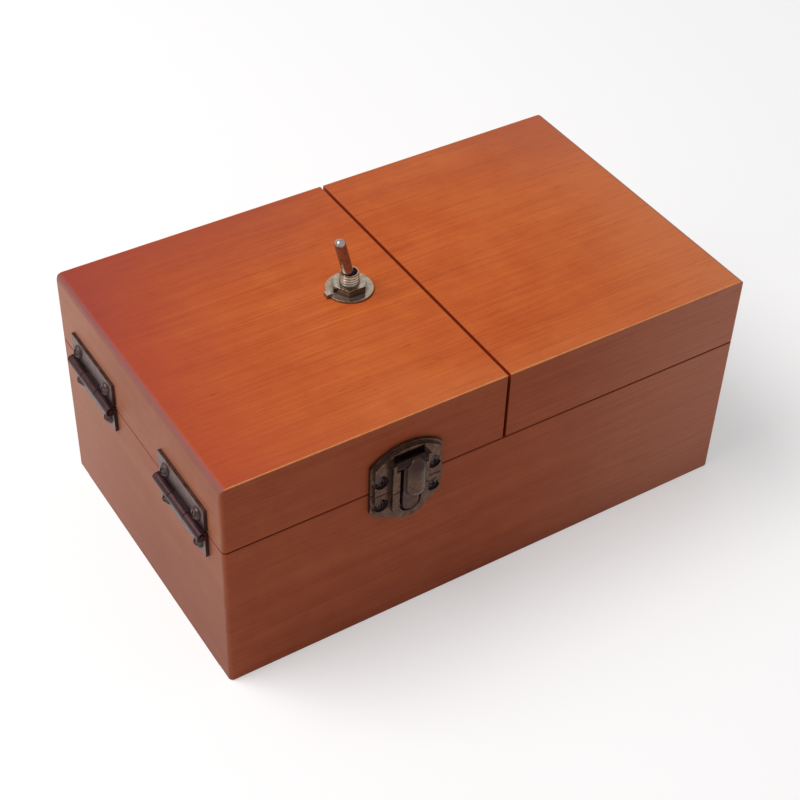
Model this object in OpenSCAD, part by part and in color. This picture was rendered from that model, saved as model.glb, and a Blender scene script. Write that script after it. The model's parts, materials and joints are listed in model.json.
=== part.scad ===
// Wooden switch box with a split lid, a toggle and an arm that pushes it back
// Millimetres. Origin at the centre of the box's bottom face, +Z up,
// +X along the box to the right, the latch on the -Y face.

/* [Box] */
// Length of the box, left to right
box_l = 150; // [144:1:170]
// Width of the box, front to back
box_w = 89; // [84:1:110]
// Height of the base, below the lids
base_h = 45; // [44.5:0.5:50]
// Height of the lids, seam included
lid_h = 20.5; // [20:0.5:22]
// Gap between the base and the closed lids
seam = 0.3; // [0.2:0.05:0.5]
// Thickness of the walls
wall_t = 6; // [4:0.5:6.5]
// Thickness of the base's floor
floor_t = 5; // [4:0.25:5]
// Thickness of the lids' top boards
lid_top_t = 5; // [4:0.25:5]
// Radius of the upright outer edges
corner_r = 1.2; // [0.5:0.1:2]
// Radius of the lids' top edge along the two ends
end_round = 2; // [1:0.1:3]
// Place of the gap between the lids, from the box's centre
split_x = 2.1; // [1.5:0.1:3]
// Width of the gap between the lids
split_gap = 0.8; // [0.6:0.1:1.2]

/* [Hinges] */
// Length of a hinge along its pin
hinge_len = 23.4; // [20:0.2:28]
// Distance of each hinge's middle from the box's centre line
hinge_y = 24.5; // [20:0.5:26]
// Shift of both hinges towards the front
hinge_shift = 1; // [0:0.5:2]
// Height of the upper leaf, from the pin to its edge
hinge_up_h = 8.2; // [7.5:0.1:10]
// Height of the lower leaf, from the pin to its edge
hinge_low_h = 6.8; // [6.6:0.1:10]
// Thickness of a leaf
hinge_leaf_t = 0.9; // [0.7:0.05:1]
// Outer radius of the knuckles
knuckle_r = 1.35; // [1.25:0.05:1.6]
// Radius of the hinge pins
hinge_pin_r = 0.65; // [0.5:0.05:0.7]
// Gap between neighbouring knuckles
knuckle_gap = 0.2; // [0.1:0.05:0.4]
// Distance of the hinge screws from the hinge's middle
hinge_screw_y = 8.1; // [6:0.1:9]
// Distance of the hinge screws from the pin
hinge_screw_z = 4.6; // [4.4:0.1:4.7]
// Head radius of the hinge screws
hinge_head_r = 1.9; // [1.5:0.1:2.2]

/* [Latch] */
// Place of the latch's middle along the front
latch_x = -26.8; // [-32:0.1:-22]
// Width of the latch plates
latch_w = 19.9; // [19.6:0.1:24]
// Height of the upper plate's straight sides
latch_up_side = 8.8; // [8.7:0.1:9.6]
// Rise of the upper plate's arch
latch_up_rise = 4; // [3.9:0.1:5]
// Height of the lower plate's straight sides
latch_low_side = 5.7; // [5.4:0.1:8]
// Drop of the lower plate's pointed arch
latch_low_drop = 5.4; // [5.2:0.1:6.4]
// Radius of the pointed arch's two arcs
latch_low_r = 16; // [14:0.5:20]
// Thickness of the latch plates
latch_t = 1.8; // [1.5:0.1:2]
// Thickness of the plates' stepped edge
latch_edge_t = 1; // [0.6:0.1:1.2]
// Width of the plates' stepped edge
latch_edge_w = 0.8; // [0.5:0.1:1]
// Outer half width of the raised rim beside the tongue
rim_out = 5; // [4.9:0.1:5.4]
// Inner half width of the raised rim beside the tongue
rim_in = 3; // [2.9:0.05:3.8]
// Height of the raised rim, from the wood
rim_h = 3.1; // [2.8:0.05:3.15]
// Depth of the raised rim's round end, below the seam
rim_low = 9.4; // [9:0.1:9.6]
// Half width of the upper plate's window
window_in = 4.3; // [4.2:0.05:4.3]
// Width of the tongue's lower end
tongue_w = 4.6; // [4.4:0.1:5.4]
// Width of the tongue's neck
neck_w = 4.4; // [4:0.1:5]
// Thickness of the tongue
tongue_t = 1.4; // [1.35:0.05:1.4]
// Radius of the tongue's pin
tongue_pin_r = 0.6; // [0.5:0.05:0.7]
// Height of the tongue's pin, above the seam
tongue_pin_up = 8.2; // [8.1:0.05:8.3]
// Distance of the tongue's pin from the wood
tongue_pin_out = 2.4; // [2.3:0.05:2.5]
// Radius of the oval knob
knob_r = 2.9; // [2.4:0.1:2.9]
// Height of the oval knob
knob_len = 12; // [10:0.1:12.4]
// Height of the knob's middle, above the seam
knob_up = 3.4; // [3:0.1:4]
// Shift of the knob from the tongue's middle
knob_off = 1.2; // [0:0.1:1.2]
// Distance of the latch screws from the latch's middle
latch_screw_x = 7.3; // [7.2:0.05:7.3]
// Height of the upper latch screws, above the seam
latch_screw_up = 4; // [3:0.1:5]
// Depth of the lower latch screws, below the seam
latch_screw_low = 3.5; // [3:0.1:4.5]
// Head radius of the latch screws
latch_head_r = 1.5; // [1.2:0.1:1.5]

/* [Toggle] */
// Place of the toggle along the box
toggle_x = -14.1; // [-15:0.1:-13.5]
// Place of the toggle across the box
toggle_y = 2.6; // [1.5:0.1:4]
// Length of the toggle's body
toggle_body_l = 13; // [12:0.5:14]
// Width of the toggle's body
toggle_body_w = 12.7; // [11:0.1:14]
// Height of the toggle's body
toggle_body_h = 9.5; // [8:0.5:10]
// Radius of the bushing
bushing_r = 2.5; // [2.45:0.05:2.6]
// Radius of the bushing's open bore
bushing_bore_r = 2.05; // [2:0.05:2.05]
// Height of the bushing above the lid
bushing_up = 5.5; // [5.3:0.1:6.4]
// Pitch of the bushing's thread
thread_pitch = 0.7; // [0.5:0.05:0.8]
// Outer radius of the lock washer
washer_r = 6.1; // [5.5:0.1:6.5]
// Thickness of the lock washer
washer_t = 0.6; // [0.4:0.1:0.8]
// Width of the nut across its flats
nut_af = 8; // [7:0.5:8.5]
// Thickness of the nut
nut_t = 2; // [1.6:0.1:2.2]
// Radius of the toggle's lever
lever_r = 1.45; // [1.2:0.05:1.45]
// Length of the toggle's lever, from its pivot
lever_len = 12.8; // [12:0.1:14]
// Lean of the lever to either side
lever_lean = 14; // [10:0.5:14]
// Depth of the lever's pivot below the bushing's top
lever_pivot_drop = 1.8; // [1.7:0.1:1.9]

/* [Arm] */
// Place of the arm's shaft along the box
shaft_x = 8; // [7.5:0.5:9]
// Height of the arm's shaft
shaft_z = 33; // [32.5:0.5:34]
// Thickness of the arm
arm_t = 5; // [4:0.5:5]
// Turn of the arm from home to the toggle
arm_turn = 120; // [119:0.5:121]
// Radius of the arm's hub
hub_r = 7; // [6:0.5:7.5]
// Half width of the arm's lower limb
limb_low_r = 5; // [4.5:0.1:5]
// Half width of the arm's upper limb
limb_up_r = 4.5; // [4:0.1:4.5]
// Half width of the arm's hook
hook_r = 4; // [3.5:0.1:4]
// Radius of the finger's tip
finger_r = 3; // [2.5:0.1:3.2]
// Distance from the shaft to the knee
arm_knee = 23; // [22:0.5:24]
// Distance from the shaft to the elbow
arm_elbow = 39; // [38:0.5:40]
// Radius of the arm's shaft
shaft_r = 2.7; // [2.5:0.05:2.75]
// Width of the shaft across its two flats
shaft_flat = 3.7; // [3.5:0.1:4]

/* [Motor] */
// Thickness of the upright plate
plate_t = 3; // [2.5:0.5:4]
// Length of the upright plate
plate_l = 53; // [50:1:56]
// Height of the upright plate
plate_h = 40; // [39:0.5:40.5]
// Length of the gearbox
gearbox_l = 37; // [36:0.5:38]
// Height of the gearbox
gearbox_h = 22.5; // [22:0.5:23]
// Depth of the gearbox
gearbox_d = 18.8; // [18:0.1:20]
// Distance from the gearbox's end to its shaft
gearbox_shaft_in = 11; // [10:0.5:12]
// Radius of the motor's can
can_r = 10; // [9.5:0.1:10.5]
// Depth of the can across its flats
can_flat = 15.1; // [14:0.1:16]
// Length of the can
can_l = 25; // [22:0.5:26]
// Length of the motor's end cap
cap_l = 2.6; // [2:0.1:3]

/* [Limit switch] */
// Length of the limit switch
limit_l = 20; // [19:0.5:20]
// Height of the limit switch
limit_h = 10; // [9:0.5:10]
// Thickness of the limit switch
limit_t = 6.4; // [6:0.1:6.4]
// Thickness of its lever
limit_lever_t = 0.4; // [0.3:0.05:0.5]
// Where along the arm its lever touches
limit_touch = 18; // [17:0.5:19]

/* [Battery] */
// Radius of a cell
cell_r = 7.1; // [6.8:0.1:7.1]
// Length of a cell without its nub
cell_l = 49; // [48:0.5:49]
// Distance between neighbouring cells
cell_pitch = 14.4; // [14.3:0.1:14.6]
// Number of cells
cell_count = 4; // [3:1:4]
// Room for the spring at each cell's end
cell_room = 8.2; // [6:0.2:8.4]
// Height of the holder's sides
holder_h = 11; // [9:0.5:14]
// Thickness of the holder's walls
holder_t = 1.4; // [1:0.1:1.6]

/* [Hidden] */
$fn = 64;
run_fit = 0.05;
clear = 0.3;
snug = 0.1;
plan_over = 1;
seam_z = base_h + seam / 2;
lid_z0 = base_h + seam;
lid_z1 = base_h + lid_h;
lid_in_z = lid_z1 - lid_top_t;
half_l = box_l / 2;
half_w = box_w / 2;
in_l = half_l - wall_t;
in_w = half_w - wall_t;
left_edge = split_x - split_gap / 2;
right_edge = split_x + split_gap / 2;
hinge_axis_out = knuckle_r + 0.15;
leaf_gap = 0.35;
leaf_z0 = knuckle_r + leaf_gap;
knuckle_l = (hinge_len - 2 * knuckle_gap) / 3;
pin_over = 0.4;
hinge_head_h = 1.2;
hinge_screw_r = 0.9;
hinge_screw_l = 6;
hinge_top_seat = hinge_axis_out - hinge_leaf_t;
latch_up_r = (pow(latch_w / 2, 2) + pow(latch_up_rise, 2)) / (2 * latch_up_rise);
latch_half_chord = sqrt(pow(latch_w / 2, 2) + pow(latch_low_drop, 2)) / 2;
latch_bow = sqrt(pow(latch_low_r, 2) - pow(latch_half_chord, 2));
latch_arc_x = latch_w / 4 - latch_bow * latch_low_drop / (2 * latch_half_chord);
latch_arc_z = -latch_low_side - latch_low_drop / 2 + latch_bow * latch_w / (4 * latch_half_chord);
latch_head_h = 0.9;
latch_screw_r = 0.8;
latch_screw_l = 6;
recess_over = 0.5;
recess_r = latch_head_r + recess_over;
window_over = 2.9;
window_back = 0.25;
ear_out = window_in + 0.9;
ear_low = 1.4;
barrel_half = window_in - 0.2;
tongue_back = tongue_pin_out - tongue_t / 3;
tongue_front = tongue_back + tongue_t;
tongue_end_up = rim_out - rim_low;
tongue_barrel_r = tongue_pin_r + 0.6;
ear_h = tongue_pin_out + tongue_barrel_r;
window_low = tongue_pin_up - tongue_barrel_r - 0.3;
phillips_w = 0.45;
toggle_recess = 2.4;
toggle_body_top = lid_in_z + toggle_recess;
toggle_cover_t = 0.5;
bushing_z1 = lid_z1 + bushing_up;
bushing_floor = bushing_z1 - lever_pivot_drop - 3.6;
lever_ball_r = bushing_bore_r - 0.35;
lever_tail = 2.4;
lever_tail_r = 0.9;
toggle_pin_r = 0.45;
toggle_pin_half = bushing_bore_r + 0.15;
lever_pivot_z = bushing_z1 - lever_pivot_drop;
thread_deep = 0.2;
nut_z0 = lid_z1 + washer_t;
key_w = 1.8;
lug_w = 2;
lug_t = 0.8;
lug_l = 4.5;
arm_y1 = toggle_y + arm_t / 2;
arm_y0 = toggle_y - arm_t / 2;
finger_z = bushing_z1 + clear + finger_r;
finger_reach = lever_r + finger_r + clear;
finger_x = toggle_x + (finger_reach - (finger_z - lever_pivot_z) * sin(lever_lean)) / cos(lever_lean);
limb_off = 0.5;
knee = [limb_off, arm_knee];
elbow = [limb_off, arm_elbow];
nose = [-6, finger_z + 1.1 - shaft_z];
finger = [finger_x - shaft_x, finger_z - shaft_z];
plate_y0 = arm_y1 + 1.5;
plate_y1 = plate_y0 + plate_t;
plate_x0 = shaft_x - gearbox_shaft_in;
plate_shaft_r = 4;
cleat_d = 10;
cleat_h = 8;
gearbox_x0 = shaft_x - gearbox_shaft_in;
gearbox_x1 = gearbox_x0 + gearbox_l;
gearbox_mid = plate_y1 + gearbox_d / 2;
shaft_deep = 10;
shaft_y0 = arm_y0 + 0.5;
arm_screw_r = 1;
arm_screw_l = 6;
arm_head_r = 3.4;
arm_head_h = 1.2;
motor_screw_in = 6;
motor_screw_x = gearbox_x1 - motor_screw_in;
motor_screw_z = 8.75;
motor_screw_r = 1.5;
motor_head_r = 2.8;
motor_head_h = 1.2;
motor_nut_af = 5.5;
motor_nut_t = 2.4;
cleat_screw_at = [0.66, 0.92];
cleat_screw_x = plate_x0 * [1, 1] + plate_l * cleat_screw_at;
cleat_screw_r = 1.25;
cleat_screw_z = floor_t + 4;
strap_w = 5;
strap_t = 0.5;
tab_t = 0.5;
tab_w = 2;
tab_l = 3;
limit_y1 = plate_y0;
limit_y0 = plate_y0 - limit_t;
limit_x0 = shaft_x - 5;
limit_z0 = floor_t + 1;
limit_z1 = limit_z0 + limit_h;
limit_mid_y = limit_y1 - limit_t / 2;
limit_pivot = [limit_x0 + 1.8, limit_z1 + 0.9];
limit_pin_r = 0.4;
limit_tube_r = 0.75;
limit_ear_t = 0.8;
limit_ear_w = 1.8;
limit_lever_w = 3.8;
limit_hole = 9.5;
limit_screw_r = 1.1;
limit_head_r = 2;
limit_head_h = 1;
limit_screw_z = limit_z0 + 0.28 * limit_h;
plunger_x = limit_x0 + 0.35 * limit_l;
plunger_r = 0.8;
plunger_h = 0.8;
limit_lug_l = 3;
stem_dir = turned(knee, -arm_turn) / norm(knee);
stem_down = [stem_dir[1], -stem_dir[0]];
touch = [shaft_x, shaft_z] + stem_dir * limit_touch + stem_down * (limb_low_r + clear + limit_lever_t);
limit_span = touch - limit_pivot;
limit_angle = atan2(limit_span[1], limit_span[0]);
holder_w = cell_count * cell_pitch + 2 * holder_t;
holder_gap = 2.5;
holder_x1 = plate_x0 - holder_gap;
cell_z = floor_t + holder_t + cell_r;
contact_t = 0.4;
nub_r = 2.7;
nub_l = 1.2;
spring_r = 4;
spring_turns = 5;
spring_wire = 0.5;
holder_l = cell_l + nub_l + cell_room + 2 * (holder_t + contact_t);
holder_x0 = holder_x1 - holder_l;
contact_w = 10;
lead_r = 0.6;
lead_z = floor_t + lead_r;

function turned(v, a) = [v[0] * cos(a) - v[1] * sin(a), v[0] * sin(a) + v[1] * cos(a)];

// A flat shape drawn in X and Z, given thickness t towards the front from y
module upright(y, t) {
  translate([0, y, 0])
    rotate([90, 0, 0])
      linear_extrude(t) children();
}

module block(a, b) {
  translate(a) cube(b - a);
}

module plan_outline() {
  square([box_l - 2 * corner_r, box_w], center = true);
  square([box_l, box_w - 2 * corner_r], center = true);
  for (x = [-1, 1], y = [-1, 1])
    translate([x * (half_l - corner_r), y * (half_w - corner_r)]) circle(corner_r);
}

// The part of the box's plan between x0 and x1 and between y0 and y1
module board(x0, x1, y0, y1, z0, z1) {
  translate([0, 0, z0])
    linear_extrude(z1 - z0)
      intersection() {
        plan_outline();
        translate([x0, y0]) square([x1 - x0, y1 - y0]);
      }
}

// A round bar in plan, from a to b
module limb(a, b, r) {
  span = b - a;
  translate(a) circle(r + run_fit);
  translate(b) circle(r + run_fit);
  translate(a)
    rotate(atan2(span[1], span[0]))
      translate([0, -r]) square([norm(span), 2 * r]);
}

// A cross-head screw with a domed head, its seat at z = 0
module screw(head_r, head_h, shank_r, shank_l) {
  dome_r = (head_r * head_r + head_h * head_h) / (2 * head_h);
  difference() {
    union() {
      intersection() {
        cylinder(h = head_h, r = head_r);
        translate([0, 0, head_h - dome_r]) sphere(dome_r);
      }
      translate([0, 0, -shank_l]) cylinder(h = shank_l, r = shank_r);
    }
    for (a = [0, 90])
      rotate(a)
        translate([-head_r * 0.55, -phillips_w / 2, head_h * 0.4])
          cube([head_r * 1.1, phillips_w, head_h]);
  }
}

// A lead through the listed points
module wire(points, r) {
  for (i = [0 : len(points) - 2])
    hull() {
      translate(points[i]) sphere(r, $fn = 16);
      translate(points[i + 1]) sphere(r, $fn = 16);
    }
}

// ---- base ----
module base_front() { color("saddlebrown") board(-half_l, half_l, -half_w, -in_w, 0, base_h); }
module base_back() { color("saddlebrown") board(-half_l, half_l, in_w, half_w, 0, base_h); }
module base_left() { color("peru") board(-half_l, -in_l, -in_w, in_w, 0, base_h); }
module base_right() { color("peru") board(in_l, half_l, -in_w, in_w, 0, base_h); }
module base_floor() { color("burlywood") block([-in_l, -in_w, 0], [in_l, in_w, floor_t]); }

// ---- lids ----
// What comes off a top board's end, side -1 on the left, to round its edge
module end_cut(side) {
  translate([side * (half_l - end_round), -half_w - plan_over, lid_z1 - end_round])
    difference() {
      translate([side < 0 ? -2 * end_round : 0, 0, 0]) cube([2 * end_round, box_w + 2 * plan_over, 2 * end_round]);
      translate([0, -plan_over, 0])
        rotate([-90, 0, 0]) cylinder(h = box_w + 4 * plan_over, r = end_round);
    }
}
module left_lid_top() {
  color("sienna")
    difference() {
      board(-half_l, left_edge, -half_w, half_w, lid_in_z, lid_z1);
      end_cut(-1);
      translate([toggle_x, toggle_y, lid_in_z - plan_over])
        cylinder(h = lid_top_t + 2 * plan_over, r = bushing_r + snug);
      block([toggle_x - toggle_body_l / 2 - clear, toggle_y - toggle_body_w / 2 - clear, lid_in_z - plan_over],
        [toggle_x + toggle_body_l / 2 + clear, toggle_y + toggle_body_w / 2 + clear, toggle_body_top]);
    }
}
module left_lid_front() { color("saddlebrown") board(-half_l, left_edge, -half_w, -in_w, lid_z0, lid_in_z); }
module left_lid_back() { color("saddlebrown") board(-half_l, left_edge, in_w, half_w, lid_z0, lid_in_z); }
module left_lid_end() { color("peru") board(-half_l, -in_l, -in_w, in_w, lid_z0, lid_in_z); }
module right_lid_top() {
  color("sienna")
    difference() {
      board(right_edge, half_l, -half_w, half_w, lid_in_z, lid_z1);
      end_cut(1);
    }
}
module right_lid_front() { color("saddlebrown") board(right_edge, half_l, -half_w, -in_w, lid_z0, lid_in_z); }
module right_lid_back() { color("saddlebrown") board(right_edge, half_l, in_w, half_w, lid_z0, lid_in_z); }
module right_lid_end() { color("peru") board(in_l, half_l, -in_w, in_w, lid_z0, lid_in_z); }

// ---- hinges, drawn on the left end, their pin along Y at the origin ----
// side is -1 for the base's leaf and 1 for the lid's
module leaf(side, knuckles) {
  difference() {
    union() {
      translate([hinge_top_seat, -hinge_len / 2, side > 0 ? leaf_z0 : -hinge_low_h])
        cube([hinge_leaf_t, hinge_len, (side > 0 ? hinge_up_h : hinge_low_h) - leaf_z0]);
      for (k = knuckles)
        translate([0, -hinge_len / 2 + k * (knuckle_l + knuckle_gap), 0]) {
          rotate([-90, 0, 0]) cylinder(h = knuckle_l, r = knuckle_r);
          translate([hinge_top_seat, 0, side > 0 ? 0 : -leaf_z0])
            cube([hinge_leaf_t, knuckle_l, leaf_z0]);
        }
    }
    translate([0, -hinge_len / 2 - plan_over, 0])
      rotate([-90, 0, 0]) cylinder(h = hinge_len + 2 * plan_over, r = hinge_pin_r + run_fit);
    for (y = [-1, 1])
      translate([0, y * hinge_screw_y, side * hinge_screw_z])
        rotate([0, 90, 0]) cylinder(h = hinge_axis_out + plan_over, r = hinge_screw_r + run_fit);
  }
}
module hinge_screws(side) {
  for (y = [-1, 1])
    translate([hinge_top_seat, y * hinge_screw_y, side * hinge_screw_z])
      rotate([0, -90, 0]) screw(hinge_head_r, hinge_head_h, hinge_screw_r, hinge_screw_l);
}
module hinge_pin() {
  translate([0, -hinge_len / 2 - pin_over, 0])
    rotate([-90, 0, 0]) cylinder(h = hinge_len + 2 * pin_over, r = hinge_pin_r);
}
module at_left_hinges() {
  for (y = [-1, 1])
    translate([-half_l - hinge_axis_out, y * hinge_y - hinge_shift, seam_z]) children();
}
module at_right_hinges() {
  mirror([1, 0, 0]) at_left_hinges() children();
}
module left_base_leaves() { color("darkkhaki") at_left_hinges() leaf(-1, [0, 2]); }
module left_lid_leaves() { color("darkkhaki") at_left_hinges() leaf(1, [1]); }
module left_hinge_pins() { color("gray") at_left_hinges() hinge_pin(); }
module left_base_screws() { color("gray") at_left_hinges() hinge_screws(-1); }
module left_lid_screws() { color("gray") at_left_hinges() hinge_screws(1); }
module right_base_leaves() { color("darkkhaki") at_right_hinges() leaf(-1, [0, 2]); }
module right_lid_leaves() { color("darkkhaki") at_right_hinges() leaf(1, [1]); }
module right_hinge_pins() { color("gray") at_right_hinges() hinge_pin(); }
module right_base_screws() { color("gray") at_right_hinges() hinge_screws(-1); }
module right_lid_screws() { color("gray") at_right_hinges() hinge_screws(1); }

// ---- latch, drawn with the seam at z = 0 and the wood at y = 0 ----
module at_latch() {
  translate([latch_x, -half_w, seam_z]) children();
}
module upper_shape(inset) {
  intersection() {
    translate([inset - latch_w / 2, seam / 2])
      square([latch_w - 2 * inset, latch_up_side + latch_up_rise - inset]);
    translate([0, latch_up_side + latch_up_rise - latch_up_r]) circle(latch_up_r - inset);
  }
}
module lower_shape(inset) {
  intersection() {
    translate([inset - latch_w / 2, -latch_low_side - latch_low_drop])
      square([latch_w - 2 * inset, latch_low_side + latch_low_drop - seam / 2]);
    translate([latch_arc_x, latch_arc_z]) circle(latch_low_r - inset);
    translate([-latch_arc_x, latch_arc_z]) circle(latch_low_r - inset);
  }
}
module latch_holes(z) {
  for (x = [-1, 1])
    translate([x * latch_screw_x, 0, z])
      rotate([90, 0, 0]) {
        translate([0, 0, latch_t - latch_head_h]) cylinder(h = rim_h, r = recess_r);
        translate([0, 0, -plan_over]) cylinder(h = rim_h, r = latch_screw_r + run_fit);
      }
}
module latch_upper() {
  color("darkgoldenrod")
    at_latch()
      difference() {
        union() {
          upright(0, latch_edge_t) upper_shape(0);
          upright(0, latch_t) upper_shape(latch_edge_w);
          block([-rim_out, -rim_h, seam / 2], [rim_out, 0, tongue_pin_up]);
          block([-ear_out, -ear_h, tongue_pin_up - ear_low], [ear_out, 0, tongue_pin_up + tongue_barrel_r]);
        }
        block([-window_in, -ear_h - plan_over, window_low], [window_in, -window_back, tongue_pin_up + window_over]);
        block([-rim_in, -ear_h - plan_over, -plan_over], [rim_in, -window_back, tongue_pin_up]);
        pin_bar(ear_out + plan_over, tongue_pin_r + run_fit);
        latch_holes(latch_screw_up);
      }
}
module latch_lower() {
  color("darkgoldenrod")
    at_latch()
      difference() {
        union() {
          upright(0, latch_edge_t) lower_shape(0);
          upright(0, latch_t) lower_shape(latch_edge_w);
          upright(0, rim_h)
            intersection() {
              union() {
                translate([0, tongue_end_up]) circle(rim_out);
                translate([-rim_out, tongue_end_up]) square([2 * rim_out, -tongue_end_up]);
              }
              translate([-latch_w / 2, -2 * rim_low]) square([latch_w, 2 * rim_low - seam / 2]);
            }
        }
        upright(-latch_t, rim_h) {
          translate([0, tongue_end_up]) circle(rim_in);
          translate([-rim_in, tongue_end_up]) square([2 * rim_in, plan_over - tongue_end_up]);
        }
        latch_holes(-latch_screw_low);
      }
}
// A bar on the tongue's pin, half its length each way
module pin_bar(half, r) {
  translate([-half, -tongue_pin_out, tongue_pin_up])
    rotate([0, 90, 0]) cylinder(h = 2 * half, r = r);
}
module latch_pin() { color("gray") at_latch() pin_bar(ear_out, tongue_pin_r); }
module latch_tongue() {
  color("goldenrod")
    at_latch()
      difference() {
        union() {
          upright(-tongue_back, tongue_t) {
            translate([0, tongue_end_up]) circle(tongue_w / 2);
            translate([-tongue_w / 2, tongue_end_up]) square([tongue_w, -tongue_end_up]);
            translate([-neck_w / 2, tongue_end_up]) square([neck_w, tongue_pin_up - tongue_end_up]);
          }
          pin_bar(barrel_half, tongue_barrel_r);
        }
        pin_bar(ear_out, tongue_pin_r + run_fit);
      }
}
module latch_knob() {
  color("gold")
    at_latch()
      difference() {
        translate([knob_off, -tongue_pin_out - snug, knob_up]) {
          cylinder(h = knob_len - 2 * knob_r, r = knob_r, center = true);
          for (z = [-1, 1])
            translate([0, 0, z * (knob_len / 2 - knob_r)]) sphere(knob_r);
        }
        block([-rim_out, -tongue_front, -knob_len], [rim_out, rim_out, 2 * knob_len]);
        pin_bar(ear_out, tongue_barrel_r + run_fit);
      }
}
module latch_screws(z) {
  for (x = [-1, 1])
    translate([x * latch_screw_x, latch_head_h - latch_t, z])
      rotate([90, 0, 0]) screw(latch_head_r, latch_head_h, latch_screw_r, latch_screw_l);
}
module latch_upper_screws() { color("gray") at_latch() latch_screws(latch_screw_up); }
module latch_lower_screws() { color("gray") at_latch() latch_screws(-latch_screw_low); }

// ---- toggle ----
module at_toggle(z) {
  translate([toggle_x, toggle_y, z]) children();
}
module pivot_bar(z, fit) {
  translate([0, -toggle_pin_half, z])
    rotate([-90, 0, 0]) cylinder(h = 2 * toggle_pin_half, r = toggle_pin_r + fit);
}
module toggle_pin() { color("silver") at_toggle(lever_pivot_z) pivot_bar(0, 0); }
module toggle_body() {
  color("dimgray")
    at_toggle(toggle_body_top - toggle_cover_t - toggle_body_h)
      translate([-toggle_body_l / 2, -toggle_body_w / 2, 0])
        cube([toggle_body_l, toggle_body_w, toggle_body_h]);
}
module toggle_bushing() {
  turns = floor((bushing_z1 - toggle_body_top) / thread_pitch);
  run = bushing_z1 - toggle_body_top;
  color("silver")
    at_toggle(0)
      difference() {
        union() {
          translate([-toggle_body_l / 2, -toggle_body_w / 2, toggle_body_top - toggle_cover_t])
            cube([toggle_body_l, toggle_body_w, toggle_cover_t]);
          translate([0, 0, toggle_body_top])
            rotate_extrude()
              polygon(concat([[0, 0]],
                [for (i = [0 : turns - 1], s = [0, 1])
                  [bushing_r - s * thread_deep, (i + s / 2) * run / turns]],
                [[bushing_r - thread_deep, run], [0, run]]));
        }
        translate([0, 0, bushing_floor]) cylinder(h = run, r = bushing_bore_r);
        pivot_bar(lever_pivot_z, run_fit);
      }
}
module toggle_lugs() {
  color("silver")
    at_toggle(toggle_body_top - toggle_cover_t - toggle_body_h - lug_l)
      for (x = [-1, 0, 1], y = [-1, 1])
        translate([x * toggle_body_l / 3 - lug_w / 2, y * toggle_body_w / 4 - lug_t / 2, 0])
          cube([lug_w, lug_t, lug_l]);
}
module toggle_washer() {
  color("silver")
    at_toggle(lid_z1)
      difference() {
        union() {
          cylinder(h = washer_t, r = washer_r);
          translate([-washer_r - lug_t, -key_w / 2, 0]) cube([washer_r, key_w, washer_t * 2]);
        }
        translate([0, 0, -plan_over]) cylinder(h = washer_t + 2 * plan_over, r = bushing_r + snug);
        translate([-washer_r + lug_t, -key_w, washer_t]) cube([washer_r, 2 * key_w, plan_over]);
      }
}
module toggle_nut() {
  color("silver")
    at_toggle(nut_z0)
      difference() {
        intersection() {
          cylinder(h = nut_t, r = nut_af / 2 / cos(30), $fn = 6);
          cylinder(h = nut_t + nut_af / 4, r1 = nut_af * 0.72, r2 = nut_af * 0.38);
        }
        translate([0, 0, -plan_over]) cylinder(h = nut_t + 2 * plan_over, r = bushing_r + run_fit);
      }
}
module toggle_lever() {
  color("silver")
    at_toggle(lever_pivot_z)
      rotate([0, -lever_lean, 0])
        difference() {
          union() {
            sphere(lever_ball_r);
            cylinder(h = lever_len - lever_r, r = lever_r);
            translate([0, 0, lever_len - lever_r]) sphere(lever_r);
            translate([0, 0, -lever_tail]) cylinder(h = lever_tail, r = lever_tail_r);
          }
          pivot_bar(0, run_fit);
        }
}

// ---- arm ----
module shaft_profile(fit) {
  intersection() {
    circle(shaft_r + fit);
    square([shaft_flat + 2 * fit, 3 * shaft_r], center = true);
  }
}
module arm() {
  color("tan")
    translate([shaft_x, 0, shaft_z])
      rotate([0, arm_turn, 0])
        upright(arm_y1, arm_t)
          difference() {
            union() {
              circle(hub_r);
              limb([0, 0], knee, limb_low_r);
              limb(knee, elbow, limb_up_r);
              limb(elbow, nose, hook_r);
              limb(nose, finger, finger_r);
            }
            shaft_profile(snug / 2);
          }
}
module arm_shaft() {
  color("white")
    translate([shaft_x, 0, shaft_z])
      rotate([0, arm_turn, 0])
        difference() {
          union() {
            upright(plate_y0, plate_y0 - shaft_y0) shaft_profile(0);
            upright(plate_y1 + shaft_deep, plate_y1 + shaft_deep - plate_y0) circle(shaft_r);
          }
          upright(shaft_y0 + arm_screw_l + plan_over, arm_screw_l + 2 * plan_over) circle(arm_screw_r + run_fit);
        }
}
module arm_screw() {
  color("silver")
    translate([shaft_x, arm_y0, shaft_z])
      rotate([0, arm_turn, 0])
        rotate([90, 0, 0]) screw(arm_head_r, arm_head_h, arm_screw_r, arm_screw_l);
}

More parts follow.
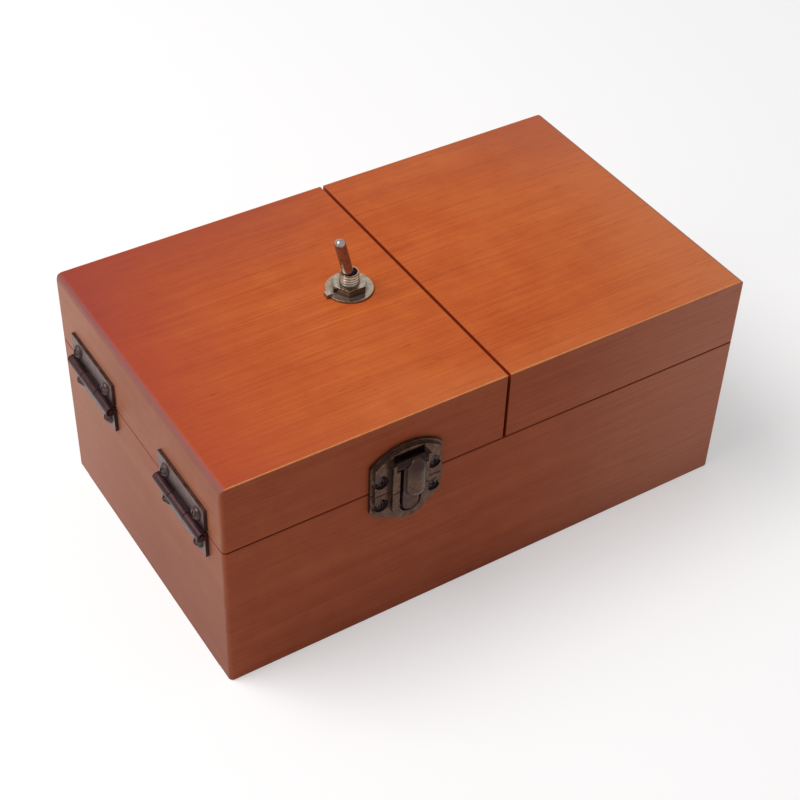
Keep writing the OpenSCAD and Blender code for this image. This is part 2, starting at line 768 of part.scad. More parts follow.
// ---- motor ----
module plate_holes(y0, y1, fit) {
  for (z = [-1, 1])
    translate([motor_screw_x, y0, shaft_z + z * motor_screw_z])
      rotate([-90, 0, 0]) cylinder(h = y1 - y0, r = motor_screw_r + fit);
}
module cleat_holes(y0, y1) {
  for (x = cleat_screw_x)
    translate([x, y0, cleat_screw_z])
      rotate([-90, 0, 0]) cylinder(h = y1 - y0, r = cleat_screw_r + run_fit);
}
module limit_holes(y0, y1) {
  for (x = [-1, 1])
    translate([limit_x0 + limit_l / 2 + x * limit_hole / 2, y0, limit_screw_z])
      rotate([-90, 0, 0]) cylinder(h = y1 - y0, r = limit_screw_r + run_fit);
}
module motor_plate() {
  color("burlywood")
    difference() {
      block([plate_x0, plate_y0, floor_t], [plate_x0 + plate_l, plate_y1, floor_t + plate_h]);
      translate([shaft_x, plate_y0 - plan_over, shaft_z])
        rotate([-90, 0, 0]) cylinder(h = plate_t + 2 * plan_over, r = plate_shaft_r);
      plate_holes(plate_y0 - plan_over, plate_y1 + plan_over, run_fit);
      cleat_holes(plate_y0 - plan_over, plate_y1 + plan_over);
      limit_holes(plate_y0 - plan_over, plate_y1 + plan_over);
    }
}
module motor_cleat() {
  color("burlywood")
    difference() {
      block([plate_x0, plate_y1, floor_t], [plate_x0 + plate_l, plate_y1 + cleat_d, floor_t + cleat_h]);
      cleat_holes(plate_y1 - plan_over, plate_y1 + cleat_d - plan_over);
      limit_holes(plate_y1 - plan_over, plate_y1 + 2 * plate_t);
    }
}
module cleat_screws() {
  color("silver")
    for (x = cleat_screw_x)
      translate([x, plate_y0, cleat_screw_z])
        rotate([90, 0, 0]) screw(motor_head_r * 0.8, motor_head_h, cleat_screw_r, plate_t + cleat_d - 2 * plan_over);
}
module gearbox_half(y0, y1) {
  difference() {
    upright(y1, y1 - y0) {
      translate([gearbox_x0 + gearbox_h / 4, shaft_z - gearbox_h / 2])
        square([gearbox_l - gearbox_h / 4, gearbox_h]);
      translate([gearbox_x0, shaft_z - gearbox_h / 4]) square([gearbox_h / 4, gearbox_h / 2]);
      for (z = [-1, 1])
        translate([gearbox_x0 + gearbox_h / 4, shaft_z + z * gearbox_h / 4]) circle(gearbox_h / 4);
    }
    plate_holes(y0 - plan_over, y1 + plan_over, run_fit);
    translate([shaft_x, plate_y1 - plan_over, shaft_z])
      rotate([-90, 0, 0]) cylinder(h = shaft_deep + 2 * plan_over, r = shaft_r + run_fit);
  }
}
module gearbox_front() { color("gold") gearbox_half(plate_y1, gearbox_mid); }
module gearbox_back() { color("gold") gearbox_half(gearbox_mid, plate_y1 + gearbox_d); }
module can_shape() {
  intersection() {
    circle(can_r);
    square([3 * can_r, can_flat], center = true);
  }
}
module at_can(x) {
  translate([x, gearbox_mid, shaft_z])
    rotate([90, 0, 90]) rotate(90) children();
}
module motor_can() { color("silver") at_can(gearbox_x1) linear_extrude(can_l) can_shape(); }
module motor_cap() { color("white") at_can(gearbox_x1 + can_l) linear_extrude(cap_l) can_shape(); }
module motor_strap() {
  color("white")
    at_can(gearbox_x1 + can_l / 2)
      linear_extrude(strap_w)
        difference() {
          intersection() {
            circle(can_r + strap_t);
            square([3 * can_r, can_flat + 2 * strap_t], center = true);
          }
          can_shape();
        }
}
module motor_tabs() {
  color("goldenrod")
    for (z = [-1, 1])
      translate([gearbox_x1 + can_l + cap_l, gearbox_mid - tab_w / 2, shaft_z + z * can_r / 2 - tab_t / 2])
        cube([tab_l, tab_w, tab_t]);
}
module motor_screws() {
  color("silver")
    for (z = [-1, 1])
      translate([motor_screw_x, plate_y0, shaft_z + z * motor_screw_z])
        rotate([90, 0, 0])
          screw(motor_head_r, motor_head_h, motor_screw_r, plate_t + gearbox_d + motor_nut_t);
}
module motor_nuts() {
  color("silver")
    for (z = [-1, 1])
      translate([motor_screw_x, plate_y1 + gearbox_d, shaft_z + z * motor_screw_z])
        rotate([-90, 0, 0])
          difference() {
            cylinder(h = motor_nut_t, r = motor_nut_af / 2 / cos(30), $fn = 6);
            translate([0, 0, -plan_over])
              cylinder(h = motor_nut_t + 2 * plan_over, r = motor_screw_r + run_fit);
          }
}

// ---- limit switch ----
module limit_body() {
  color("black")
    difference() {
      union() {
        block([limit_x0, limit_y0, limit_z0], [limit_x0 + limit_l, limit_y1, limit_z1]);
        for (y = [limit_y0, limit_y1 - limit_ear_t])
          translate([limit_pivot[0] - limit_ear_w / 2, y, limit_z1])
            cube([limit_ear_w, limit_ear_t, 2 * limit_ear_t + 0.3]);
        translate([limit_pivot[0], limit_y0, limit_pivot[1]])
          rotate([-90, 0, 0]) cylinder(h = limit_t, r = limit_pin_r);
        translate([plunger_x, limit_mid_y, limit_z1]) cylinder(h = plunger_h, r = plunger_r);
      }
      limit_holes(limit_y0 - plan_over, limit_y1 + plan_over);
    }
}
module limit_lever() {
  color("silver")
    translate([limit_pivot[0], limit_mid_y, limit_pivot[1]])
      rotate([0, -limit_angle, 0])
        difference() {
          union() {
            translate([0, -limit_lever_w / 2, -limit_lever_t / 2])
              cube([norm(limit_span), limit_lever_w, limit_lever_t]);
            translate([0, -limit_lever_w / 2, 0])
              rotate([-90, 0, 0]) cylinder(h = limit_lever_w, r = limit_tube_r);
            translate([norm(limit_span), -limit_lever_w / 2, 0])
              rotate([-90, 0, 0]) cylinder(h = limit_lever_w, r = limit_lever_t);
          }
          translate([0, -limit_t / 2, 0])
            rotate([-90, 0, 0]) cylinder(h = limit_t, r = limit_pin_r + run_fit);
        }
}
module limit_lugs() {
  color("silver")
    for (i = [-1, 0, 1])
      translate([limit_x0 + limit_l / 2 + i * limit_l * 0.4 - lug_w / 2, limit_y0 - limit_lug_l, limit_z0 + 0.4])
        cube([lug_w, limit_lug_l, tab_t]);
}
module limit_screws() {
  color("silver")
    for (x = [-1, 1])
      translate([limit_x0 + limit_l / 2 + x * limit_hole / 2, limit_y0, limit_screw_z])
        rotate([90, 0, 0]) screw(limit_head_r, limit_head_h, limit_screw_r, limit_t + plate_t);
}

// ---- cells ----
module cell_holder() {
  color("black")
    difference() {
      block([holder_x0, -holder_w / 2, floor_t], [holder_x1, holder_w / 2, floor_t + holder_h]);
      block([holder_x0 + holder_t, holder_t - holder_w / 2, floor_t + holder_t],
        [holder_x1 - holder_t, holder_w / 2 - holder_t, floor_t + 2 * holder_h]);
    }
}
// Each cell's row, turned end for end on every other one
module at_cells() {
  for (i = [0 : cell_count - 1])
    translate([(holder_x0 + holder_x1) / 2, (i - (cell_count - 1) / 2) * cell_pitch, cell_z])
      rotate(i % 2 == 0 ? 0 : 180)
        translate([holder_t + contact_t - holder_l / 2, 0, 0]) children();
}
module cells() {
  color("steelblue")
    at_cells()
      translate([cell_room, 0, 0])
        rotate([0, 90, 0]) {
          cylinder(h = cell_l, r = cell_r);
          cylinder(h = cell_l + nub_l, r = nub_r);
        }
}
module cell_contacts() {
  step = cell_room / spring_turns;
  color("silver")
    at_cells() {
      translate([-contact_t, -contact_w / 2, -contact_w / 2]) cube([contact_t, contact_w, contact_w]);
      rotate([0, 90, 0])
        rotate_extrude()
          polygon(concat([[0, 0]],
            [for (i = [0 : spring_turns - 1], s = [0, 1])
              [spring_r - i * spring_wire / 2 - s * spring_wire, (i + s / 2) * step]],
            [[spring_r / 3, cell_room], [0, cell_room]]));
      translate([cell_room + cell_l + nub_l, -contact_w / 2, -contact_w / 2])
        cube([contact_t, contact_w, contact_w]);
    }
}
module leads() {
  limit_lug_x = limit_l * 0.4;
  lug_y = limit_y0 - limit_lug_l + lead_r;
  lug_z = limit_z0 + 0.4 + tab_t + lead_r;
  mid_x = limit_x0 + limit_l / 2;
  tab_x = gearbox_x1 + can_l + cap_l + tab_l - lead_r;
  tab_z = shaft_z + can_r / 2;
  tab_low_z = shaft_z - can_r / 2 - tab_t / 2 - lead_r;
  wall_x = in_l - 2 * lead_r;
  color("firebrick") {
    wire([[holder_x1, -cell_pitch, lug_z], [mid_x - limit_lug_x, lug_y - 4, lug_z],
      [mid_x - limit_lug_x, lug_y + lead_r, lug_z]], lead_r);
    wire([[mid_x + limit_lug_x, lug_y + lead_r, lug_z], [mid_x + limit_lug_x, lug_y - 5, lead_z],
      [tab_x, lug_y - 5, lead_z], [tab_x, gearbox_mid, lead_z], [tab_x, gearbox_mid, tab_low_z + lead_r]], lead_r);
    wire([[holder_x1, cell_pitch + 6, lug_z], [plate_x0 + 2, plate_y1 + cleat_d + 4, lead_z],
      [gearbox_x1 + can_l, plate_y1 + gearbox_d + 4, lead_z], [wall_x, gearbox_mid + 2, shaft_z],
      [tab_x, gearbox_mid, tab_z + tab_t / 2 + lead_r]], lead_r);
  }
}

base_front();
base_back();
base_left();
base_right();
base_floor();
left_lid_top();
left_lid_front();
left_lid_back();
left_lid_end();
right_lid_top();
right_lid_front();
right_lid_back();
right_lid_end();
left_base_leaves();
left_lid_leaves();
left_hinge_pins();
left_base_screws();
left_lid_screws();
right_base_leaves();
right_lid_leaves();
right_hinge_pins();
right_base_screws();
right_lid_screws();
latch_upper();
latch_lower();
latch_pin();
latch_tongue();
latch_knob();
latch_upper_screws();
latch_lower_screws();
toggle_body();
toggle_bushing();
toggle_lugs();
toggle_washer();
toggle_nut();
toggle_pin();
toggle_lever();
arm();
arm_shaft();
arm_screw();
motor_plate();
motor_cleat();
cleat_screws();
gearbox_front();
gearbox_back();
motor_can();
motor_cap();
motor_strap();
motor_tabs();
motor_screws();
motor_nuts();
limit_body();
limit_lever();
limit_lugs();
limit_screws();
cell_holder();
cells();
cell_contacts();
leads();
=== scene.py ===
import json
import math

import bmesh
import bpy
from mathutils import Matrix, Vector


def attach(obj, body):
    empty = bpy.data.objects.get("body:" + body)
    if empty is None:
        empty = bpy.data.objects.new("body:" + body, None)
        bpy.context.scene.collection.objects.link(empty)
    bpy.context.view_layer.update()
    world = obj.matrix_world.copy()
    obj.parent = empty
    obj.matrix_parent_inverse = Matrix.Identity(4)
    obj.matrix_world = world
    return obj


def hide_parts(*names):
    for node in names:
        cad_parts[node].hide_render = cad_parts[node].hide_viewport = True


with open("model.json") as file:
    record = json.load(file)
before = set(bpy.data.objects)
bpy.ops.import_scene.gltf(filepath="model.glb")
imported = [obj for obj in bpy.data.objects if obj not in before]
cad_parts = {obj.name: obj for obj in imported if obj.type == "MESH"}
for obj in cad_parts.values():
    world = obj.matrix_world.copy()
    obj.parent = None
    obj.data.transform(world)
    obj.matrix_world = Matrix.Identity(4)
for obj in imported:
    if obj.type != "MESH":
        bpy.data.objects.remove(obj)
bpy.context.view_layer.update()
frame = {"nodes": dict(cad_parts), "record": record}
NODES = frame["nodes"]
SLOT = {s["node"]: s["material_slot"] for s in frame["record"]["subparts"]}
WOOD_SLOTS = ("wood_top", "wood_front", "wood_end")
MM = 0.001

# The box in mm: half its length and width, its height, the height of the seam below the lids,
# and the distance of the hinges' pins from its middle
HX, HY, TOP, SEAM, PIN_X = 75.0, 44.5, 65.5, 45.15, 76.5
# The underside of the lids' tops, and the inner faces of the front and back boards
LID_UNDER, WALL_IN = 60.5, 38.5


def rgb(*levels):
    """An sRGB colour, 0 to 255, as the linear colour that a shader takes."""
    unit = [v / 255 for v in levels]
    return (*(v / 12.92 if v <= 0.04045 else ((v + 0.055) / 1.055) ** 2.4 for v in unit), 1.0)


class Mat:
    """A node material with one Principled shader, and short calls for its nodes."""

    def __init__(self, name, **fixed):
        self.mat = bpy.data.materials.new(name)
        self.mat.use_nodes = True
        self.t = self.mat.node_tree
        self.t.nodes.clear()
        self.out = self.t.nodes.new("ShaderNodeOutputMaterial")
        self.p = self.t.nodes.new("ShaderNodeBsdfPrincipled")
        self.t.links.new(self.p.outputs[0], self.out.inputs[0])
        for k, v in fixed.items():
            self.p.inputs[k.replace("_", " ")].default_value = v
        coords = self.t.nodes.new("ShaderNodeTexCoord").outputs
        self.normal = coords["Normal"]
        self.mm = self.vec("SCALE", coords["Object"], scale=1000)

    def put(self, sock, v):
        if isinstance(v, bpy.types.NodeSocket):
            self.t.links.new(v, sock)
        else:
            sock.default_value = v

    def set(self, name, v):
        self.put(self.p.inputs[name], v)

    def m(self, op, a, b=0.0, clamp=False):
        n = self.t.nodes.new("ShaderNodeMath")
        n.operation = op
        n.use_clamp = clamp
        self.put(n.inputs[0], a)
        self.put(n.inputs[1], b)
        return n.outputs[0]

    def add(self, a, b):
        return self.m("ADD", a, b)

    def sub(self, a, b):
        return self.m("SUBTRACT", a, b)

    def mul(self, a, b):
        return self.m("MULTIPLY", a, b)

    def most(self, a, b):
        return self.m("MAXIMUM", a, b)

    def size(self, a):
        return self.m("ABSOLUTE", a)

    def off(self, a, middle):
        """How far a is from the middle, on either side."""
        return self.size(self.sub(a, middle))

    def span(self, a, b):
        return self.m("SQRT", self.add(self.mul(a, a), self.mul(b, b)))

    def vec(self, op, a, b=None, scale=None):
        n = self.t.nodes.new("ShaderNodeVectorMath")
        n.operation = op
        self.put(n.inputs[0], a)
        if b is not None:
            self.put(n.inputs[1], b)
        if scale is not None:
            n.inputs["Scale"].default_value = scale
        return n.outputs[0]

    def xyz(self, v):
        n = self.t.nodes.new("ShaderNodeSeparateXYZ")
        self.put(n.inputs[0], v)
        return n.outputs

    def noise(self, v, scale, detail=3.0, rough=0.55, distort=0.0):
        n = self.t.nodes.new("ShaderNodeTexNoise")
        self.put(n.inputs["Vector"], v)
        n.inputs["Scale"].default_value = scale
        n.inputs["Detail"].default_value = detail
        n.inputs["Roughness"].default_value = rough
        n.inputs["Distortion"].default_value = distort
        return n.outputs["Fac"]

    def ramp(self, fac, *stops):
        n = self.t.nodes.new("ShaderNodeValToRGB")
        self.put(n.inputs[0], fac)
        e = n.color_ramp.elements
        while len(e) < len(stops):
            e.new(0.5)
        for s, (pos, col) in zip(e, stops):
            s.position = pos
            s.color = col
        return n.outputs[0]

    def step(self, v, a, b):
        """0 where v is a or beyond, 1 where it is b or beyond, and smooth between them."""
        n = self.t.nodes.new("ShaderNodeMapRange")
        n.interpolation_type = "SMOOTHSTEP"
        self.put(n.inputs["Value"], v)
        n.inputs["From Min"].default_value = a
        n.inputs["From Max"].default_value = b
        return n.outputs[0]

    def mix(self, fac, a, b):
        n = self.t.nodes.new("ShaderNodeMix")
        n.data_type = "RGBA"
        self.put(n.inputs[0], fac)
        self.put(n.inputs[6], a)
        self.put(n.inputs[7], b)
        return n.outputs[2]

    def tint(self, col, mask, amount, other):
        """The colour col, with the other one laid over it by the amount where the mask is."""
        return self.mix(self.mul(mask, amount), col, other)

    def bump(self, height, dist, soft=0.0):
        """Relief dist metres high where height is 1, and edges that look rounded by soft metres."""
        n = self.t.nodes.new("ShaderNodeBump")
        self.put(n.inputs["Height"], height)
        n.inputs["Distance"].default_value = dist
        n.inputs["Strength"].default_value = 0.5
        if soft:
            b = self.t.nodes.new("ShaderNodeBevel")
            b.samples = 4
            b.inputs["Radius"].default_value = soft
            self.t.links.new(b.outputs[0], n.inputs["Normal"])
        self.set("Normal", n.outputs[0])


def stained_wood(name):
    """Fine straight-grained wood with a see-through stain outside, some light and shade painted
    into it, and left raw inside.

    One material serves every board, so that glued joints between them don't show."""
    g = Mat(name, Specular_IOR_Level=0.1)
    x, y, z = g.xyz(g.mm)
    ax, ay = g.size(x), g.size(y)
    nx, _, nz = g.xyz(g.normal)
    nx, nz = g.size(nx), g.size(nz)
    end, face = g.step(nx, 0.55, 0.85), g.step(nz, 0.55, 0.85)

    # The grain runs along x, and along y on the end faces
    long = g.vec("MULTIPLY", g.mm, g.mix(end, (0.022, 1, 1, 1), (1, 0.03, 1, 1)))
    short = g.vec("MULTIPLY", g.mm, g.mix(end, (0.3, 2.6, 2.6, 1), (2.6, 0.3, 2.6, 1)))
    wide = g.noise(long, 0.14, 3, 0.55, 0.3)
    fine = g.noise(long, 1.3, 3, 0.6)
    hair = g.noise(long, 3.0, 2, 0.6)
    pores = g.step(g.noise(short, 0.9, 2, 0.6), 0.64, 0.76)
    cloud = g.noise(g.mm, 0.028, 3, 0.6)
    blotch = g.noise(g.mm, 0.16, 3, 0.6)
    tone = g.add(g.mul(cloud, 0.24), g.mul(blotch, 0.2))
    tone = g.add(g.mul(wide, 0.24), g.add(g.mul(fine, 0.32), tone))

    def stain(dark, mid, light):
        return g.ramp(tone, (0.36, dark), (0.5, mid), (0.64, light))

    # The top's stain is sprayed redder towards the left end and the corners, and paler at the right
    # end. The rose towards the back, strongest at the back left, is a painted sheen of the white
    # surroundings reflected at a grazing angle
    top = stain(rgb(172, 73, 32), rgb(189, 89, 38), rgb(203, 106, 46))
    ex = g.m("POWER", g.m("DIVIDE", ax, HX), 2.6)
    ey = g.m("POWER", g.m("DIVIDE", ay, HY), 4.0)
    edge = g.add(g.mul(ex, 0.8), g.mul(ey, 0.3))
    edge = g.m("ADD", edge, g.mul(g.sub(cloud, 0.5), 0.5), clamp=True)
    left = g.step(g.add(x, g.mul(y, -0.35)), 30.0, -70.0)
    far = g.step(y, -40.0, 30.0)
    rose = g.mix(left, rgb(194, 112, 70), g.mix(far, rgb(170, 70, 42), rgb(148, 54, 52)))
    top = g.mix(edge, top, rose)
    # Painted sheen: rose towards the back
    back = g.step(g.add(y, g.mul(cloud, 30.0)), 20.0, 66.0)
    amount = g.add(0.1, g.mul(g.step(g.off(x, 22.0), 8.0, 44.0), 0.5))
    top = g.tint(top, back, amount, rgb(156, 70, 52))

    # The front and the ends take their own colours of the stain. The front's are darker, a painted
    # shade, and the ends' are paler and greyer, a painted reflection of the white surroundings.
    # The front is paler towards the right, and the ends are redder low down and paler behind
    front = stain(rgb(154, 68, 40), rgb(168, 82, 48), rgb(180, 94, 58))
    front = g.tint(front, g.step(x, 0.0, 80.0), 0.85, rgb(204, 130, 104))
    side = stain(rgb(142, 80, 56), rgb(154, 92, 66), rgb(164, 104, 78))
    side = g.tint(side, g.step(z, 46.0, 4.0), 0.6, rgb(128, 64, 44))
    side = g.tint(side, g.step(y, -10.0, 50.0), 0.45, rgb(184, 132, 108))
    col = g.mix(end, front, side)
    col = g.mix(face, col, top)

    # Painted shade in the split between the lids and along the seam under them, and darker in the
    # grain's hairs and pores
    col = g.tint(col, end, g.step(ax, 20.0, 10.0), rgb(138, 50, 25))
    col = g.tint(col, g.step(g.off(z, SEAM), 0.5, 0.2), 0.5, rgb(118, 50, 30))
    col = g.tint(col, g.step(hair, 0.46, 0.7), 0.2, rgb(120, 52, 30))
    col = g.tint(col, pores, 0.36, rgb(96, 36, 20))

    # Painted reflection, greyish, where the ends' rounded edges turn, and a pale line along the
    # long top edges that is partly wear and partly a painted highlight
    turn = g.mul(g.step(nx, 0.2, 0.5), g.step(nz, 0.2, 0.5))
    turn = g.mul(turn, g.step(ax, 60.0, 70.0))
    col = g.tint(col, turn, 0.65, rgb(126, 86, 88))
    rim = g.most(g.sub(HY, ay), g.sub(TOP, z))
    rim = g.add(rim, g.mul(g.sub(g.noise(g.mm, 0.35), 0.5), 0.35))
    col = g.tint(col, g.step(rim, 0.34, 0.16), 0.75, rgb(222, 150, 96))

    # Raw wood inside
    skin = g.most(g.most(g.sub(ax, HX), g.sub(ay, HY)), g.most(g.sub(z, TOP), g.mul(z, -1.0)))
    inside = g.step(g.add(skin, g.sub(g.noise(g.mm, 0.3), 0.5)), -1.2, -2.2)
    raw = g.ramp(tone, (0.34, rgb(190, 144, 96)), (0.62, rgb(220, 182, 134)))
    g.set("Base Color", g.mix(inside, col, raw))
    g.set("Roughness", g.add(0.38, g.add(g.mul(fine, 0.16), g.mul(inside, 0.25))))
    g.bump(g.add(g.mul(fine, 0.5), g.mul(g.sub(hair, pores), 0.5)), 0.00005)
    return g.mat


def raw_wood(name, dark, light, along):
    g = Mat(name)
    grain = g.vec("MULTIPLY", g.mm, along)
    wide, fine = g.noise(grain, 0.2, 4, 0.6, 0.5), g.noise(grain, 1.6, 3, 0.6)
    tone = g.add(g.mul(wide, 0.6), g.mul(fine, 0.4))
    g.set("Base Color", g.ramp(tone, (0.36, dark), (0.64, light)))
    g.set("Roughness", g.add(0.5, g.mul(fine, 0.25)))
    g.bump(fine, 0.00008)
    return g.mat


def metal(
    name, base, tint, rough, scale, metallic=1.0, scratch=0.0, grime=None,
    hollow_shade=None, reach=0.002, barrel=None, crown_shade=None, flank_reflection=None, **fixed,
):
    """Plated metal with patches, fine specks and scratches, and painted shade in its hollows, found
    by ambient occlusion.

    A barrel colour darkens it towards the hinges' pins. A crown colour is painted shade towards the
    top of the latch's knob and tongue, and a flank colour a painted dark reflection on upright
    faces."""
    g = Mat(name, Metallic=metallic, **fixed)
    patch = g.noise(g.mm, scale, 4, 0.62)
    speck = g.noise(g.mm, scale * 7, 3, 0.6)
    tone = g.add(g.mul(patch, 0.65), g.mul(speck, 0.35))
    col = g.ramp(tone, (0.38, base), (0.62, tint))
    if grime:
        spots = g.step(g.noise(g.mm, scale * 2.2, 4, 0.7), 0.5, 0.66)
        col = g.tint(col, spots, 0.75, grime)
    x, _, z = g.xyz(g.mm)
    if barrel:
        away = g.span(g.sub(g.size(x), PIN_X), g.sub(z, SEAM))
        col = g.tint(col, g.step(away, 7.5, 1.3), 0.85, barrel)
    # Painted shade towards the top
    if crown_shade:
        col = g.tint(col, g.step(z, SEAM + 2.0, SEAM + 8.5), 0.85, crown_shade)
    # Painted dark reflection on upright faces
    if flank_reflection:
        upward = g.xyz(g.normal)[2]
        col = g.tint(col, g.step(upward, 0.8, 0.5), 0.9, flank_reflection)
    # Painted shade in the hollows that ambient occlusion finds, made less metallic there so that it
    # takes up some plain light
    if hollow_shade:
        ao = g.t.nodes.new("ShaderNodeAmbientOcclusion")
        ao.samples = 8
        ao.inputs["Distance"].default_value = reach
        hollow_shade_mask = g.mul(g.step(ao.outputs["AO"], 0.85, 0.3), 0.9)
        col = g.mix(hollow_shade_mask, col, hollow_shade)
        g.set("Metallic", g.mul(g.sub(1.0, hollow_shade_mask), metallic))
    g.set("Base Color", col)
    line = g.noise(g.vec("MULTIPLY", g.mm, (0.3, 6, 6)), 1.0, 2)
    uneven = g.add(g.mul(g.sub(speck, 0.5), 0.25), g.mul(g.sub(line, 0.5), scratch))
    g.set("Roughness", g.add(rough, uneven))
    g.bump(g.add(speck, g.mul(patch, 1.5)), 0.00006, soft=0.00012)
    return g.mat


def plastic(name, dark, light, rough):
    g = Mat(name)
    tone = g.noise(g.mm, 0.25, 4, 0.6)
    grain = g.noise(g.mm, 5.0, 2, 0.6)
    g.set("Base Color", g.ramp(tone, (0.35, dark), (0.65, light)))
    g.set("Roughness", g.add(rough, g.mul(g.sub(grain, 0.5), 0.2)))
    g.bump(grain, 0.00003, soft=0.0003)
    return g.mat


STAINED = stained_wood("stained_wood")
# The record's material slots. Each hollow colour is painted shade, laid into the metal's hollows
MATS = {
    "wood_top": STAINED,
    "wood_front": STAINED,
    "wood_end": STAINED,
    "plain_wood": raw_wood("raw_wood", rgb(196, 152, 104), rgb(228, 192, 142), (0.03, 1, 1)),
    "bronze": metal(
        "antique_bronze", rgb(70, 46, 38), rgb(104, 78, 60), 0.34, 0.5, 0.92,
        grime=rgb(44, 28, 28), hollow_shade=rgb(66, 43, 46),
    ),
    "bronze_pin": metal(
        "bronze_pin", rgb(58, 36, 34), rgb(88, 62, 54), 0.36, 0.9, 0.92,
        grime=rgb(42, 26, 28), hollow_shade=rgb(26, 15, 18),
    ),
    "bronze_screw": metal(
        "bronze_screw", rgb(54, 38, 40), rgb(94, 75, 73), 0.3, 1.2, 0.92,
        grime=rgb(42, 28, 32), hollow_shade=rgb(20, 12, 16),
    ),
    # The knob's crown colour is painted shade on its top
    "knob_brass": metal(
        "knob_bronze_shaded_top", rgb(66, 44, 33), rgb(91, 65, 47), 0.24, 0.3, 0.95,
        grime=rgb(56, 38, 32), hollow_shade=rgb(38, 24, 23), crown_shade=rgb(46, 28, 25),
        Coat_Weight=0.2, Coat_Roughness=0.16,
    ),
    "nickel": metal(
        "nickel", rgb(148, 131, 113), rgb(184, 168, 149), 0.15, 0.6,
        scratch=0.08, hollow_shade=rgb(58, 36, 32), reach=0.006,
    ),
    "steel": metal("zinc_steel", rgb(168, 170, 174), rgb(206, 208, 210), 0.3, 0.4, scratch=0.2),
    "tin": metal("tinned", rgb(190, 188, 180), rgb(222, 220, 214), 0.3, 0.8),
    "switch_black": plastic("moulded_black", rgb(16, 16, 18), rgb(28, 28, 30), 0.42),
    "yellow_plastic": plastic("moulded_yellow", rgb(226, 180, 40), rgb(238, 196, 62), 0.4),
    "white_plastic": plastic("moulded_white", rgb(222, 220, 212), rgb(238, 236, 230), 0.42),
    "cell_sleeve": plastic("cell_sleeve", rgb(44, 84, 128), rgb(58, 102, 148), 0.28),
    "lead_red": plastic("lead_red", rgb(168, 26, 22), rgb(192, 38, 30), 0.38),
}
# The hinges' hollow colour is painted shade in their hollows
HINGE = metal(
    "hinge_bronze", rgb(70, 47, 41), rgb(114, 84, 72), 0.32, 0.5, 0.92,
    grime=rgb(48, 32, 34), hollow_shade=rgb(46, 28, 32), barrel=rgb(60, 38, 42),
)
# Pieces that look different from the rest of their slot
OWN = {
    # The tongue sits in the latch's recess: its darker copy of the bronze, with a dark crown, is
    # painted shade
    "latch_tongue": metal(
        "tongue_bronze_shaded", rgb(60, 40, 36), rgb(86, 63, 53), 0.34, 0.5, 0.92,
        grime=rgb(46, 29, 29), hollow_shade=rgb(42, 26, 28), crown_shade=rgb(36, 22, 23),
    ),
    # The lever's darker, pinker copy of the nickel is a painted reflection of the wood around it
    "toggle_lever": metal(
        "lever_nickel_wood_reflection", rgb(126, 110, 106), rgb(160, 146, 140), 0.12, 0.6, 0.84,
        scratch=0.08,
    ),
    # The nut's flank colour is a painted dark reflection on its upright faces
    "toggle_nut": metal(
        "nut_nickel", rgb(140, 126, 110), rgb(184, 172, 154), 0.12, 0.6,
        scratch=0.08, hollow_shade=rgb(58, 36, 32), flank_reflection=rgb(74, 54, 47),
    ),
}


def dress(obj, mat):
    for s in obj.material_slots:
        s.material = mat
    if not obj.material_slots:
        obj.data.materials.append(mat)


for name, obj in NODES.items():
    dress(obj, HINGE if name.endswith("_leaves") else OWN.get(name, MATS[SLOT[name]]))

# ---- the boards, with their worn edges rounded ----
# How far the rounding goes in from an edge, in metres
WORN = 0.0002
# Edges that turn by more than CORNER are rounded, and what then still turns by CREASE or more
# is shaded as sharp, in radians
CORNER, CREASE = 0.6, 0.7
# How near to a joint's plane counts as on it, in mm
NEAR = 0.01


def glued(point):
    """Whether a point lies on a glued joint between two boards, where no gap shows."""
    low, out = abs(point.z / MM - LID_UNDER), abs(abs(point.y / MM) - WALL_IN)
    return low <= NEAR or out <= NEAR


for name in [n for n, s in SLOT.items() if s in WOOD_SLOTS]:
    bm = bmesh.new()
    bm.from_mesh(NODES[name].data)
    bmesh.ops.remove_doubles(bm, verts=bm.verts, dist=1e-6)
    bmesh.ops.dissolve_limit(bm, angle_limit=0.01, verts=bm.verts, edges=bm.edges)
    worn = [
        e for e in bm.edges
        if len(e.link_faces) == 2 and e.calc_face_angle(0) > CORNER
        and not all(glued(v.co) for v in e.verts)
    ]
    bmesh.ops.bevel(
        bm, geom=worn, offset=WORN, segments=2, profile=0.5, affect="EDGES", clamp_overlap=True,
    )
    bm.normal_update()
    for e in bm.edges:
        e.smooth = len(e.link_faces) == 2 and e.calc_face_angle(0) < CREASE
    mesh = bpy.data.meshes.new(name + "_board")
    bm.to_mesh(mesh)
    bm.free()
    for p in mesh.polygons:
        p.use_smooth = True
    board = bpy.data.objects.new(name + "_board", mesh)
    bpy.context.scene.collection.objects.link(board)
    even = board.modifiers.new("even", "WEIGHTED_NORMAL")
    even.keep_sharp = True
    dress(board, MATS[SLOT[name]])
    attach(board, next(b for b, ns in frame["record"]["behaviour"]["bodies"].items() if name in ns))
    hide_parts(name)

# ---- floor, light and camera ----
# These rays see the floor and the world as a white background. All others get only plain light.
BACKGROUND_RAYS = ("Is Camera Ray", "Is Glossy Ray", "Is Transmission Ray")
# The strength of the world's light on the object, and of the world as these rays see it
WORLD_LIGHT, WORLD_SEEN = 0.3, 1.0
# The floor's glow near the object, and what is added to it between two distances in mm, because
# the lamps' light falls off there
GLOW, GLOW_MORE, GLOW_FROM, GLOW_TO = 0.4, 0.32, 350.0, 1600.0

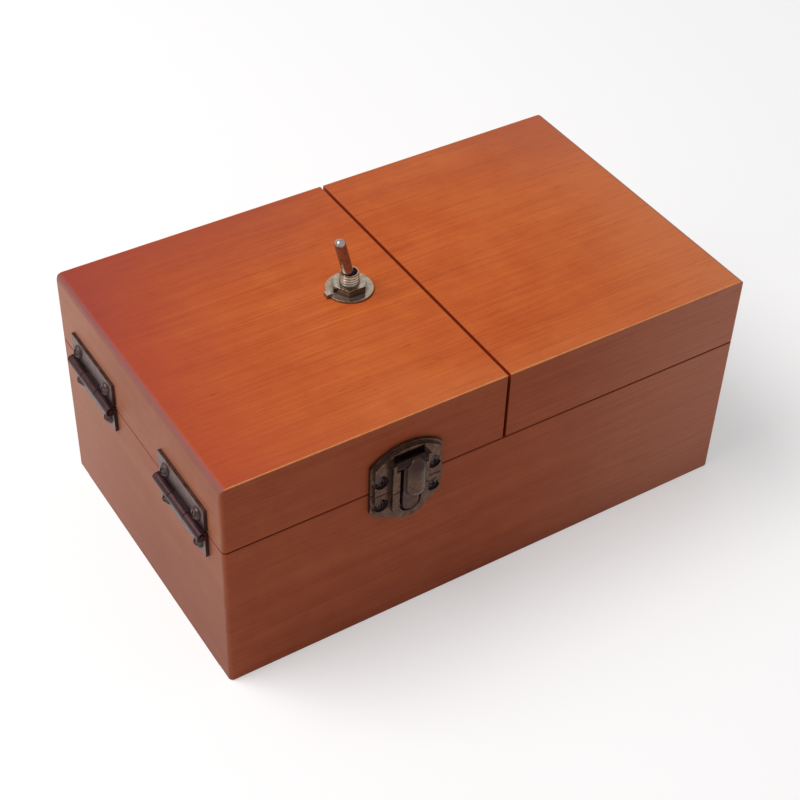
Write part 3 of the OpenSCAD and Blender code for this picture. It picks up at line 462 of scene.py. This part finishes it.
bpy.ops.mesh.primitive_plane_add(size=6, location=(0, 0, -0.0001))
floor = bpy.context.object
floor.name = "floor"
g = Mat("pale_floor", Roughness=0.9)
g.set("Base Color", (0.62, 0.61, 0.61, 1))
path = g.t.nodes.new("ShaderNodeLightPath").outputs
camera, glossy, through = (path[kind] for kind in BACKGROUND_RAYS)
seen = g.most(camera, g.most(glossy, through))
x, y, _ = g.xyz(g.mm)
level = g.add(GLOW, g.mul(g.step(g.span(x, y), GLOW_FROM, GLOW_TO), GLOW_MORE))
glow = g.t.nodes.new("ShaderNodeEmission")
g.put(glow.inputs["Strength"], g.mul(seen, level))
both = g.t.nodes.new("ShaderNodeAddShader")
g.t.links.new(g.p.outputs[0], both.inputs[0])
g.t.links.new(glow.outputs[0], both.inputs[1])
g.t.links.new(both.outputs[0], g.out.inputs[0])
dress(floor, g.mat)

world = bpy.data.worlds.new("studio")
bpy.context.scene.world = world
world.use_nodes = True
w = world.node_tree
path = w.nodes.new("ShaderNodeLightPath").outputs
seen = path[BACKGROUND_RAYS[0]]
for kind in BACKGROUND_RAYS[1:]:
    either = w.nodes.new("ShaderNodeMath")
    either.operation = "MAXIMUM"
    w.links.new(seen, either.inputs[0])
    w.links.new(path[kind], either.inputs[1])
    seen = either.outputs[0]
strength = w.nodes.new("ShaderNodeMapRange")
strength.inputs["To Min"].default_value = WORLD_LIGHT
strength.inputs["To Max"].default_value = WORLD_SEEN
w.links.new(seen, strength.inputs["Value"])
w.nodes["Background"].inputs["Color"].default_value = (1, 1, 1, 1)
w.links.new(strength.outputs[0], w.nodes["Background"].inputs["Strength"])

BOX_MIDDLE = Vector((0, 0, 0.03))


def lamp(name, place, size, watts):
    """A soft lamp that points at the middle of the box."""
    data = bpy.data.lights.new(name, "AREA")
    data.shape = "RECTANGLE"
    data.size, data.size_y = size
    data.energy = watts
    o = bpy.data.objects.new(name, data)
    bpy.context.scene.collection.objects.link(o)
    o.location = place
    o.rotation_euler = (BOX_MIDDLE - Vector(place)).to_track_quat("-Z", "Y").to_euler()


lamp("key", (-0.55, 0.25, 1.0), (0.7, 0.7), 11)
lamp("side", (-1.1, -0.1, 0.5), (0.5, 0.8), 1)

# The photograph's view, from a fit to the box's corners
AZ, EL, ROLL = (math.radians(v) for v in (-33.4736, 42.1399, 2.2169))
EYE = (-0.18574, -0.28187, 0.32907)
LENS, SENSOR = 76.25, 36
back = Vector((math.sin(AZ) * math.cos(EL), -math.cos(AZ) * math.cos(EL), math.sin(EL)))
level_right = Vector((math.cos(AZ), math.sin(AZ), 0))
level_up = back.cross(level_right)
right = math.cos(ROLL) * level_right + math.sin(ROLL) * level_up
up = -math.sin(ROLL) * level_right + math.cos(ROLL) * level_up
cam_data = bpy.data.cameras.new("photo_view")
cam_data.sensor_width = SENSOR
cam_data.lens = LENS
cam_data.clip_start = 0.01
cam = bpy.data.objects.new("photo_view", cam_data)
bpy.context.scene.collection.objects.link(cam)
turn = Matrix((right, up, back)).transposed().to_4x4()
cam.matrix_world = Matrix.Translation(EYE) @ turn
bpy.context.scene.camera = cam
bpy.context.scene.view_settings.view_transform = "Standard"
